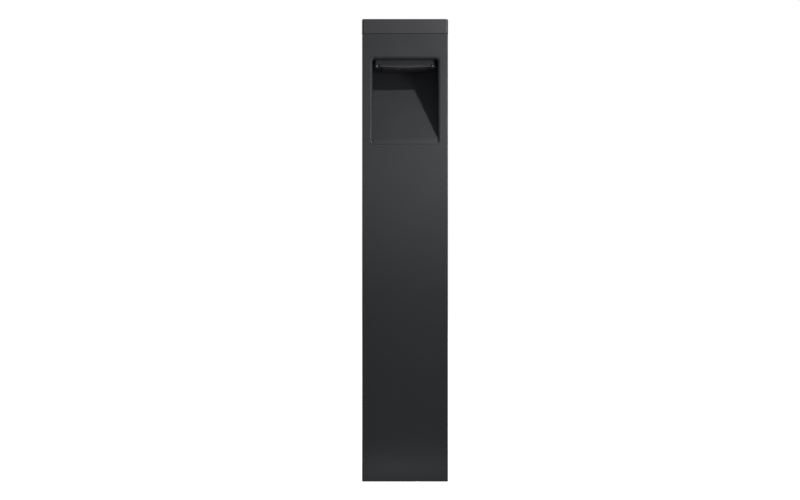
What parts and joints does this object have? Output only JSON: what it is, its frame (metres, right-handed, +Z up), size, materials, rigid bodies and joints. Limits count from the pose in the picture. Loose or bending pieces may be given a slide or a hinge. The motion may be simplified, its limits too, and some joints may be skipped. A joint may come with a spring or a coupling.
{
  "type": "bollard light",
  "caption": "Square aluminium bollard light with an overhanging lamp niche near its top, a flat cap and a bolt-down socket base.",
  "frame": {"origin": "centre of the footprint, on the ground", "axes": "+Z up; -Y towards the face with the niche; +X to the right of a person who looks at that face"},
  "size_m": [0.1308, 0.1308, 0.7],
  "materials": {
    "post_paint": "anthracite fine-textured powder coat, satin",
    "cap_paint": "anthracite fine-textured powder coat, satin",
    "niche_paint": "anthracite fine-textured powder coat on a die casting",
    "bezel_plastic": "black moulded plastic, fine spark texture",
    "opal_diffuser": "opal, frosted inside",
    "stainless": "stainless, turned",
    "seal_rubber": "matt black elastomer",
    "reflector_white": "white, glossy",
    "board_white": "white solder mask",
    "phosphor": "yellow phosphor resin",
    "nylon_white": "natural nylon",
    "pad_grey": "soft grey silicone",
    "bare_aluminium": "as extruded",
    "cable_jacket": "matt black jacket",
    "connector_black": "moulded black",
    "driver_case": "light grey moulded case",
    "galvanised_steel": "zinc coated sheet",
    "wire_brown": "brown insulation",
    "wire_blue": "blue insulation",
    "wire_green": "green and yellow insulation",
    "terminal_grey": "grey polyamide",
    "lever_orange": "orange polyamide",
    "copper": "bare copper",
    "brass_fitting": "bright brass",
    "cast_aluminium": "as cast, shot blasted"
  },
  "bodies": {
    "bollard": {"post_tube": "post_paint", "top_cap": "cap_paint", "cap_gasket": "seal_rubber", "cap_screws": "stainless", "niche_insert": "niche_paint", "niche_gasket": "seal_rubber", "niche_studs": "stainless", "niche_washers": "stainless", "niche_nuts": "stainless", "lens_bezel": "bezel_plastic", "diffuser": "opal_diffuser", "diffuser_gasket": "seal_rubber", "bezel_screws": "stainless", "reflector": "reflector_white", "led_board": "board_white", "led_chips": "phosphor", "board_connector": "nylon_white", "board_screws": "stainless", "thermal_pad": "pad_grey", "chamber_gasket": "seal_rubber", "heat_sink": "bare_aluminium", "heat_sink_screws": "stainless", "cable_grommet": "seal_rubber", "breather_valve": "nylon_white", "lamp_cable": "cable_jacket", "lamp_plug": "connector_black", "lamp_socket": "connector_black", "connector_clip": "connector_black", "driver_lead": "cable_jacket", "led_driver": "driver_case", "driver_screws": "stainless", "gear_tray": "galvanised_steel", "tray_screws": "stainless", "lead_live": "wire_brown", "lead_neutral": "wire_blue", "lead_earth": "wire_green", "terminal_body": "terminal_grey", "terminal_screws": "stainless", "lever_pin": "stainless", "clamp_springs": "stainless", "current_bars": "copper", "cord_clamp_base": "connector_black", "cord_clamp_bar": "connector_black", "cord_clamp_screws": "stainless", "earth_stud": "brass_fitting", "earth_lug": "brass_fitting", "earth_washer": "stainless", "earth_nut": "brass_fitting", "earth_bond_lead": "wire_green", "ground_pad": "seal_rubber", "post_screws": "stainless", "base_plate": "cast_aluminium", "base_socket": "cast_aluminium"},
    "live_lever": {"lever_live": "lever_orange"},
    "neutral_lever": {"lever_neutral": "lever_orange"},
    "earth_lever": {"lever_earth": "lever_orange"}
  },
  "joints": [
    {"name": "live_lever_hinge", "type": "hinge", "parent": "bollard", "child": "live_lever", "pos_m": [-0.012, 0.0128, 0.1225], "axis": [-1, 0, 0], "range_deg": [0, 85]},
    {"name": "neutral_lever_hinge", "type": "hinge", "parent": "bollard", "child": "neutral_lever", "pos_m": [0, 0.0128, 0.1225], "axis": [-1, 0, 0], "range_deg": [0, 85]},
    {"name": "earth_lever_hinge", "type": "hinge", "parent": "bollard", "child": "earth_lever", "pos_m": [0.012, 0.0128, 0.1225], "axis": [-1, 0, 0], "range_deg": [0, 85]}
  ]
}
